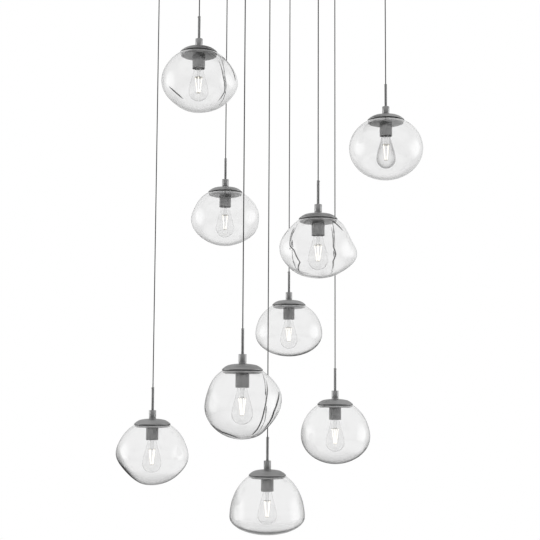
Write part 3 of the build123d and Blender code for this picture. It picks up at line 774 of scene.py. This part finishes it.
# Folds that the tools left in the hot glass: turn from the front and depth of the points
# that each one runs through, then its half width and its depth in millimetres
FOLDS = {
    1: [
        ([(-54, 118), (-43, 138), (-34, 156)], 2.4, 1.2),
        ([(40, 44), (45, 92), (51, 114), (57, 130), (58, 158)], 2.0, 1.2),
        ([(62, 22), (72, 45), (76, 92)], 2.6, 1.0),
    ],
    3: [
        ([(-57, 28), (-53, 84), (-43, 100), (-37, 133), (-60, 156)], 2.0, 1.3),
        ([(23, 34), (22, 91), (27, 112), (25, 131), (34, 154)], 2.0, 1.3),
        ([(29, 14), (39, 21), (49, 42)], 2.4, 1.1),
    ],
    6: [
        ([(52, 24), (40, 76), (36, 107), (34, 157), (30, 172)], 2.2, 1.4),
        ([(76, 58), (58, 110), (54, 160)], 4.0, 1.2),
        ([(-84, 140), (-56, 164), (-14, 180)], 4.5, 1.4),
    ],
    7: [([(-84, 98), (-66, 128), (-60, 158)], 3.0, 1.2)],
}


def fold_route(number, places):
    """The line of a fold over the shade, through its turns and depths."""
    width, belly, height = BUBBLES[number][:3]
    upper = (belly + GLASS_TOP) / math.sqrt(1 - (NECK * 2 / width) ** 2)
    lower = height - belly
    steps = np.linspace(0, len(places) - 1, 12 * len(places))
    turns = np.interp(steps, range(len(places)), [place[0] for place in places])
    depths = np.interp(steps, range(len(places)), [place[1] for place in places])
    level = np.where(depths < belly, (belly - depths) / upper, (belly - depths) / lower)
    across = np.sqrt(1 - level ** 2)
    angles = FRONT + np.radians(turns)
    ball = np.stack([across * np.cos(angles), across * np.sin(angles), level], axis=1)
    return blown_shape(number, ball)


def away_from(route, points):
    """How far points are from a route, and where along it they come nearest, from 0 to 1."""
    best = np.full(len(points), 1e9)
    along = np.zeros(len(points))
    for step, (first, second) in enumerate(zip(route, route[1:])):
        run = second - first
        share = np.clip(((points - first) @ run) / (run @ run), 0, 1)
        gap = np.linalg.norm(points - first - share[:, None] * run, axis=1)
        nearer = gap < best
        best[nearer] = gap[nearer]
        along[nearer] = (step + share[nearer]) / (len(route) - 1)
    return best, along


# Where the glass gets most painted shade towards its outline, put where thick glass looks darkest:
# turn from the front and depth of the middle, how far round it reaches and how strong it is
SHADE_WEIGHTS = {
    1: [(-90, 100, 1.2, 0.6), (0, 177, 0.8, 0.7)],
    2: [(-40, 172, 0.5, 0.3)],
    3: [(-60, 168, 0.6, 0.6)],
    4: [(-90, 80, 1.0, 0.4)],
    5: [(-60, 168, 0.5, 0.5), (60, 168, 0.5, 0.5)],
    6: [(-90, 150, 0.9, 1.0), (-10, 185, 0.6, 1.0), (-90, 80, 1.2, 0.6)],
    7: [(-90, 145, 0.6, 1.0), (-20, 182, 0.7, 1.0), (-90, 90, 1.2, 0.5)],
    8: [(-90, 150, 0.6, 1.0), (-10, 183, 0.7, 1.0), (90, 150, 0.5, 0.5)],
    9: [(0, 173.9, 1.0, 1.0), (-90, 130, 0.5, 1.0), (90, 130, 0.4, 0.9)],
}


def shade_weight_of(number, skin, hub):
    """How much painted shade the outline gets at points of a skin, from 0 to 1."""
    shade_level = np.zeros(len(skin))
    spread = (skin - hub) / np.linalg.norm(skin - hub, axis=1)[:, None]
    for turn, depth, reach, strength in SHADE_WEIGHTS[number]:
        middle = fold_route(number, [(turn, depth), (turn, depth + 0.01)])[0] - hub
        near = (spread @ middle / np.linalg.norm(middle) - 1 + reach) / (0.5 * reach)
        shade_level = np.maximum(shade_level, strength * softened(near))
    return shade_level


def vertices_of(piece):
    """The places of a piece's vertices, as rows of three numbers."""
    points = np.empty(len(piece.data.vertices) * 3)
    piece.data.vertices.foreach_get("co", points)
    return points.reshape(-1, 3)


def round_ball(name, cuts):
    """A cube, cut up and blown round, so that its faces are even and it has no poles."""
    bpy.ops.object.select_all(action="DESELECT")
    bpy.ops.mesh.primitive_cube_add(size=2)
    ball = bpy.context.object
    ball.name = name
    bpy.ops.object.mode_set(mode="EDIT")
    bpy.ops.mesh.select_all(action="SELECT")
    bpy.ops.mesh.subdivide(number_cuts=cuts)
    bpy.ops.object.mode_set(mode="OBJECT")
    points = np.tan(vertices_of(ball) * math.pi / 4)
    points /= np.linalg.norm(points, axis=1)[:, None]
    ball.data.vertices.foreach_set("co", points.ravel())
    return ball


def finer_along(ball, number, route, reach, cuts):
    """Cuts the faces near a fold smaller, so that the fold comes out crisp."""
    bpy.ops.object.mode_set(mode="EDIT")
    bpy.ops.mesh.select_all(action="DESELECT")
    bpy.ops.object.mode_set(mode="OBJECT")
    centres = np.array([face.center for face in ball.data.polygons])
    gap = away_from(route, blown_shape(number, centres))[0]
    for face, near in zip(ball.data.polygons, gap < reach):
        face.select = bool(near)
    bpy.ops.object.mode_set(mode="EDIT")
    bpy.ops.mesh.subdivide(number_cuts=cuts)
    bpy.ops.object.mode_set(mode="OBJECT")
    points = vertices_of(ball)
    points /= np.linalg.norm(points, axis=1)[:, None]
    ball.data.vertices.foreach_set("co", points.ravel())


def cut_open(skin, inside):
    """Opens a skin at the neck, and turns its faces the right way."""
    bpy.ops.object.select_all(action="DESELECT")
    skin.select_set(True)
    bpy.context.view_layer.objects.active = skin
    bpy.ops.object.mode_set(mode="EDIT")
    bpy.ops.mesh.select_all(action="SELECT")
    bpy.ops.mesh.bisect(
        plane_co=(0, 0, GLASS_TOP / 1000), plane_no=(0, 0, 1), clear_outer=True
    )
    bpy.ops.mesh.select_all(action="SELECT")
    bpy.ops.mesh.normals_make_consistent(inside=inside)
    bpy.ops.object.mode_set(mode="OBJECT")


def marked(piece, name, values):
    """Gives the vertices of a piece a number each, which its material reads by name."""
    layer = piece.data.attributes.new(name, "FLOAT", "POINT")
    layer.data.foreach_set("value", values)


# The shades' glass is painted darker towards its outline and along its creases: painted shade
SHADE_GLASS = clear_glass("blown_clear_shaded", 0.95, 0.01, 0.12, 9, blown=True)
BALL_CUTS = 47
FOLD_CUTS = 3
FOLD_MARGIN = 3
# How wide and how strong the painted shade along each fold is
CREASE_SHADE_SPREAD = 1.25
CREASE_SHADE_STRENGTH = 1.8
SHADE_SMOOTH = math.radians(50)
for number in PLACES:
    outer_skin = round_ball(f"blown_shade_{number}", BALL_CUTS)
    routes = [(fold_route(number, places), wide, deep)
              for places, wide, deep in FOLDS.get(number, [])]
    for route, wide, _ in routes:
        finer_along(outer_skin, number, route, wide + FOLD_MARGIN, FOLD_CUTS)
    skin = blown_shape(number, vertices_of(outer_skin))
    hub = np.array([0, 0, -BUBBLES[number][1]])
    inward = (hub - skin) / np.linalg.norm(hub - skin, axis=1)[:, None]
    crease = np.zeros(len(skin))
    for route, wide, deep in routes:
        gap, along = away_from(route, skin)
        fade = np.sin(math.pi * along) ** 0.5
        dip = np.clip(1 - (gap / wide) ** 2, 0, 1) ** 1.5 * fade
        skin = skin + inward * deep * dip[:, None]
        # Painted shade along the fold, a little wider than its groove
        line = np.clip(1 - (gap / (CREASE_SHADE_SPREAD * wide)) ** 2, 0, 1) * fade
        crease = np.maximum(crease, np.clip(CREASE_SHADE_STRENGTH * line, 0, 1))
    outer_skin.data.vertices.foreach_set("co", (skin / 1000).ravel())
    marked(outer_skin, "crease", crease)
    # How much painted shade the outline gets at each point
    marked(outer_skin, "heel", shade_weight_of(number, skin, hub))
    cut_open(outer_skin, False)

    inner_skin = round_ball(f"inner_skin_{number}", BALL_CUTS)
    skin = blown_shape(number, vertices_of(inner_skin), WALL, THICK_BASE)
    inner_skin.data.vertices.foreach_set("co", (skin / 1000).ravel())
    cut_open(inner_skin, True)

    shade = joined(f"blown_shade_{number}", outer_skin, inner_skin)
    bpy.ops.object.mode_set(mode="EDIT")
    bpy.ops.mesh.select_all(action="DESELECT")
    bpy.ops.mesh.select_non_manifold()
    bpy.ops.mesh.bridge_edge_loops()
    bpy.ops.object.mode_set(mode="OBJECT")
    bpy.ops.object.shade_smooth_by_angle(angle=SHADE_SMOOTH)
    shade.location = PLACES[number]
    bpy.ops.object.transform_apply(location=True)
    shade.data.materials.append(SHADE_GLASS)
    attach(shade, f"pendant_{number}")
    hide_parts(f"shade_{number}")

# ---------------------------------------------------------------- room and light
# A pale floor that fades out before its edge, a white room with two soft bright windows,
# which the glass and the metal mirror, and a tall soft lamp at each side.
FLOOR_RADIUS = 3.2
FLOOR_LEVEL = -2.35
FADE_START = 1.2
FADE_END = 3.1

bpy.ops.object.select_all(action="DESELECT")
bpy.ops.mesh.primitive_circle_add(
    vertices=96, radius=FLOOR_RADIUS, fill_type="NGON", location=(0, 0, FLOOR_LEVEL)
)
floor = bpy.context.object
floor.name = "room_floor"
pale = Finish("pale_floor", Roughness=0.8)
pale.shader.inputs["Base Color"].default_value = (0.86, 0.86, 0.86, 1)
away = pale.node("ShaderNodeVectorMath", {"operation": "LENGTH"}, {0: pale.place()}, "Value")
seen = pale.node(
    "ShaderNodeMapRange", {"interpolation_type": "SMOOTHSTEP"},
    {
        "Value": away, "From Min": FADE_END, "From Max": FADE_START,
        "To Min": 0.0, "To Max": 1.0,
    },
)
pale.feed("Alpha", seen)
floor.data.materials.append(pale.material)

world = bpy.data.worlds.new("white_room")
bpy.context.scene.world = world
world.use_nodes = True
nodes = world.node_tree.nodes
links = world.node_tree.links
background = nodes["Background"]
rays = nodes.new("ShaderNodeLightPath")
direction = nodes.new("ShaderNodeTexCoord")
split = nodes.new("ShaderNodeSeparateXYZ")
links.new(direction.outputs["Generated"], split.inputs[0])
height = nodes.new("ShaderNodeMapRange")
height.inputs["From Min"].default_value = -1.0
height.inputs["From Max"].default_value = 1.0
links.new(split.outputs["Z"], height.inputs["Value"])


def sky(stops):
    """The room's brightness from straight down to straight up."""
    ramp = nodes.new("ShaderNodeValToRGB")
    elements = ramp.color_ramp.elements
    while len(elements) < len(stops):
        elements.new(0.5)
    for element, (place, grey) in zip(elements, stops):
        element.position = place
        element.color = (grey, grey, grey, 1)
    links.new(height.outputs[0], ramp.inputs[0])
    return ramp.outputs[0]


def choose(share, first, second):
    """The first colour of the room where share is 0, and the second where it is 1."""
    mix = nodes.new("ShaderNodeMix")
    mix.data_type = "RGBA"
    links.new(share, mix.inputs[0])
    for socket, colour in ((6, first), (7, second)):
        if isinstance(colour, tuple):
            mix.inputs[socket].default_value = colour
        else:
            links.new(colour, mix.inputs[socket])
    return mix.outputs[2]


WINDOW_EDGE = math.radians(30)
WINDOW_HEART = math.radians(6)
WINDOW_LIGHT = (2.7, 2.7, 2.7, 1)


def window(towards, colour):
    """A soft bright window in the room's colour, round a level direction."""
    aim = nodes.new("ShaderNodeVectorMath")
    aim.operation = "DOT_PRODUCT"
    aim.inputs[1].default_value = towards
    links.new(direction.outputs["Generated"], aim.inputs[0])
    share = nodes.new("ShaderNodeMapRange")
    share.interpolation_type = "SMOOTHSTEP"
    share.inputs["From Min"].default_value = math.cos(WINDOW_EDGE)
    share.inputs["From Max"].default_value = math.cos(WINDOW_HEART)
    links.new(aim.outputs["Value"], share.inputs["Value"])
    return choose(share.outputs[0], colour, WINDOW_LIGHT)


# What lights the object, what shows in its gloss, what shows through its glass, and what
# the camera sees behind it
lighting = sky([(0.0, 0.5), (0.5, 0.8), (1.0, 0.95)])
mirrored = sky([(0.0, 0.04), (0.42, 0.07), (0.49, 0.46), (0.6, 0.62), (1.0, 1.0)])
through = sky([(0.0, 0.14), (0.3, 0.52), (0.42, 0.97), (0.72, 0.97), (1.0, 0.68)])
white = sky([(0.0, 1.0), (1.0, 1.0)])
mirrored = window((-0.746, 0.666, 0), mirrored)
mirrored = window((0.897, -0.442, 0), mirrored)
room = choose(rays.outputs["Is Glossy Ray"], lighting, mirrored)
room = choose(rays.outputs["Is Transmission Ray"], room, through)
room = choose(rays.outputs["Is Camera Ray"], room, white)
links.new(room, background.inputs["Color"])
background.inputs["Strength"].default_value = 1.0

# Where each lamp stands, its width and height, and its power in watts
LAMPS = {
    "left_softbox": ((-1.656, 1.479, -0.9), (0.9, 1.6), 14),
    "right_softbox": ((1.992, -0.981, -0.9), (0.9, 1.6), 14),
}
for name, (place, size, power) in LAMPS.items():
    light = bpy.data.lights.new(name, "AREA")
    light.shape = "RECTANGLE"
    light.size, light.size_y = size
    light.energy = power
    lamp = bpy.data.objects.new(name, light)
    bpy.context.scene.collection.objects.link(lamp)
    lamp.location = place
    aim = Matrix.Rotation(math.atan2(-place[0], place[1]) + math.pi, 4, "Z")
    lamp.rotation_euler = (aim @ Matrix.Rotation(math.radians(90), 4, "X")).to_euler()
    lamp.visible_camera = False
    lamp.visible_glossy = False
    lamp.visible_transmission = False

bpy.context.scene.view_settings.view_transform = "Standard"
